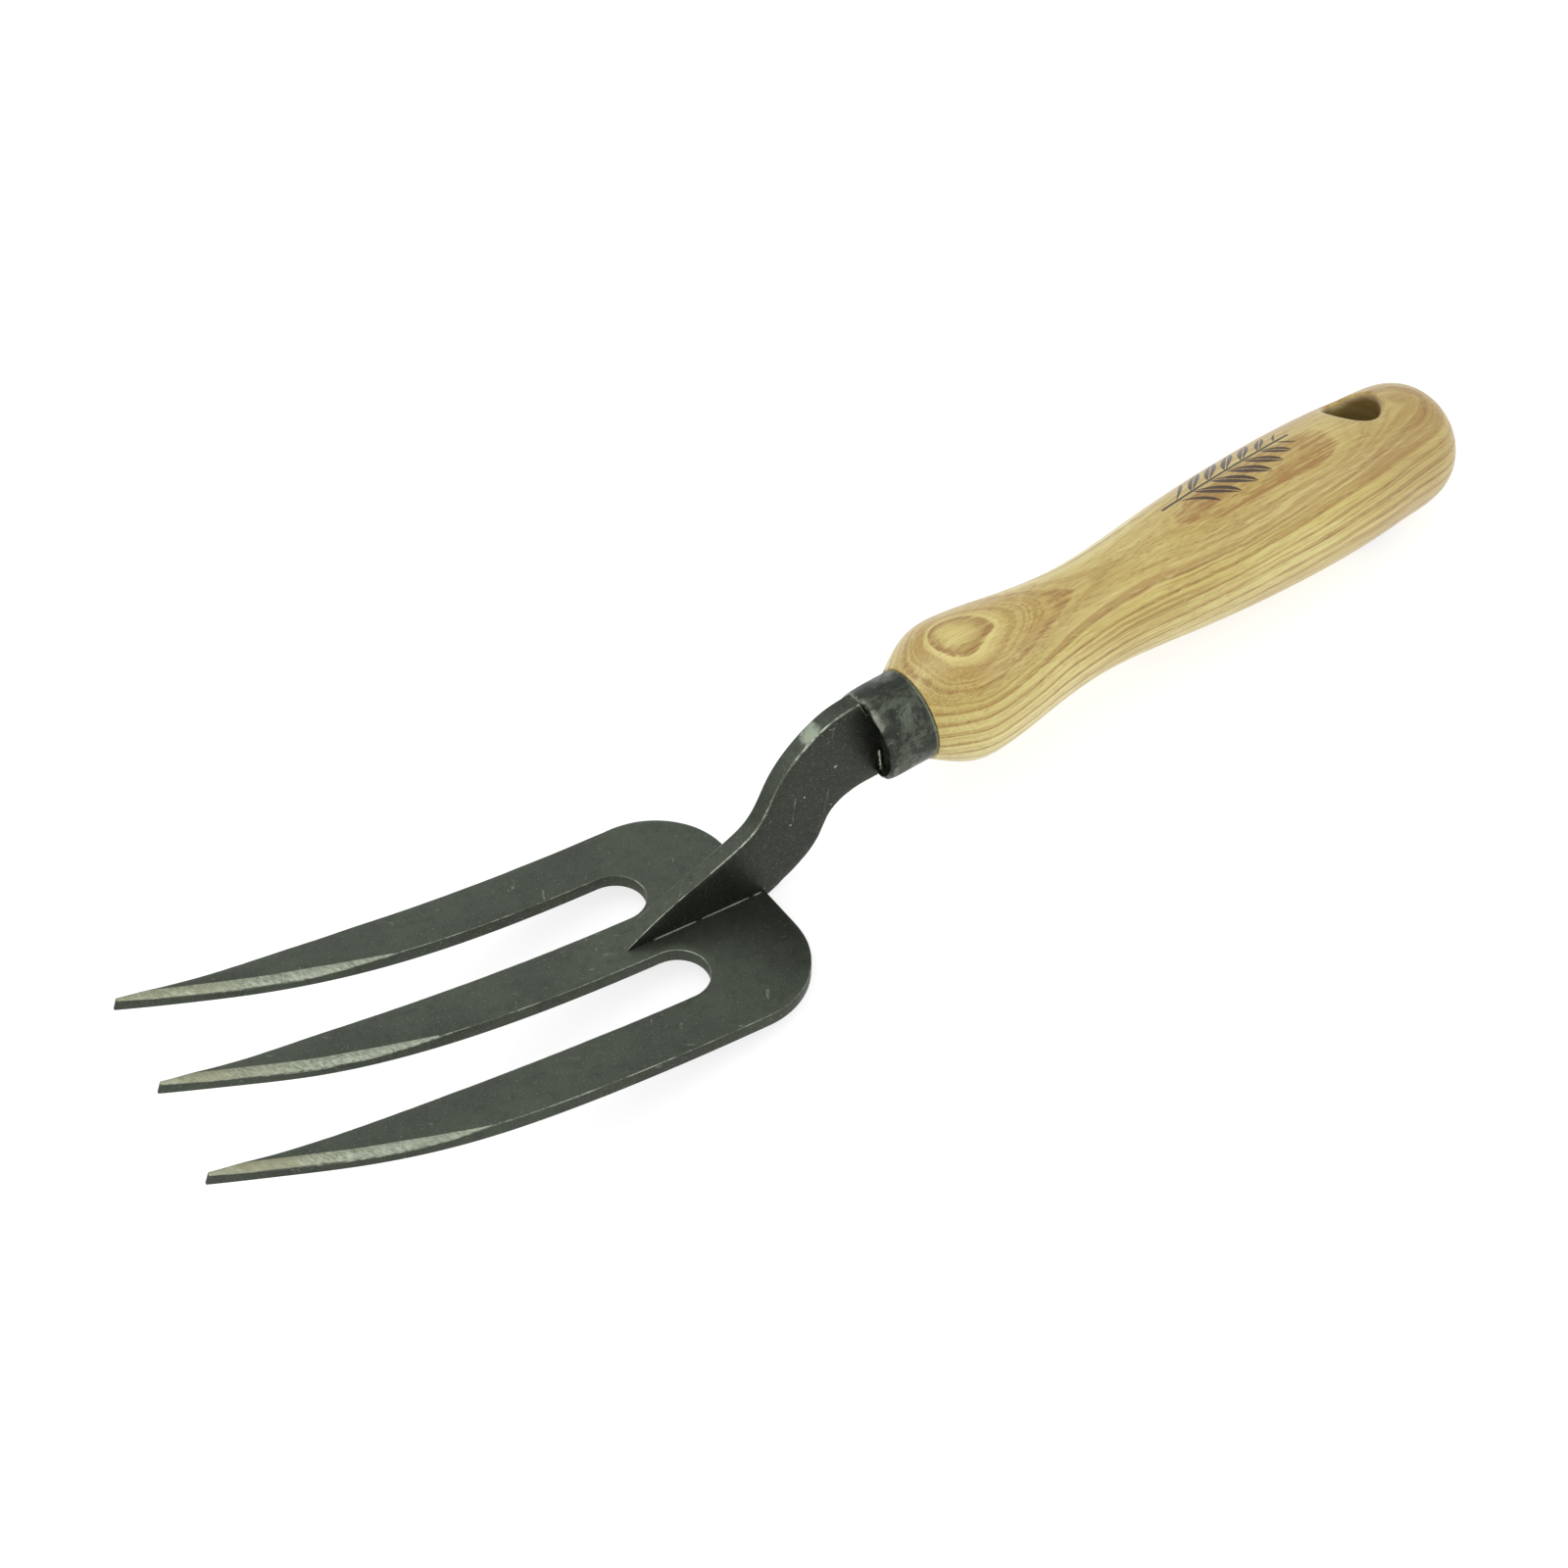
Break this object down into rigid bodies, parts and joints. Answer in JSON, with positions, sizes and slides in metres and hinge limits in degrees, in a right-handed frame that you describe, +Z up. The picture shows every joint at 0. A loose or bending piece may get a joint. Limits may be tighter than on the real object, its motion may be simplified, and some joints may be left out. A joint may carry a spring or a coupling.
{
  "type": "garden hand fork",
  "caption": "Garden hand fork: flat steel head with curved leaf-shaped tines, on-edge bar neck, steel ferrule and turned ash handle with a hanging hole.",
  "frame": {"origin": "bottom centre of the tool's box, on the surface it lies on", "axes": "+X from the tines towards the end of the handle, +Y across the tines, +Z up from the surface the tool lies on, resting on the rear edge of its plate and on its butt"},
  "size_m": [0.3092, 0.0628, 0.0463],
  "materials": {
    "dark_steel": "oiled dark oxide with bright worn edges",
    "burnished_steel": "mottled burnished",
    "ash_wood": "clear satin lacquer",
    "weld_steel": "rough bead"
  },
  "bodies": {
    "root": {"fork_head": "dark_steel", "neck_bar": "dark_steel", "ferrule": "burnished_steel", "handle": "ash_wood", "plate_weld_right": "weld_steel", "plate_weld_left": "weld_steel", "ferrule_weld_right": "weld_steel", "ferrule_weld_left": "weld_steel"}
  },
  "joints": []
}
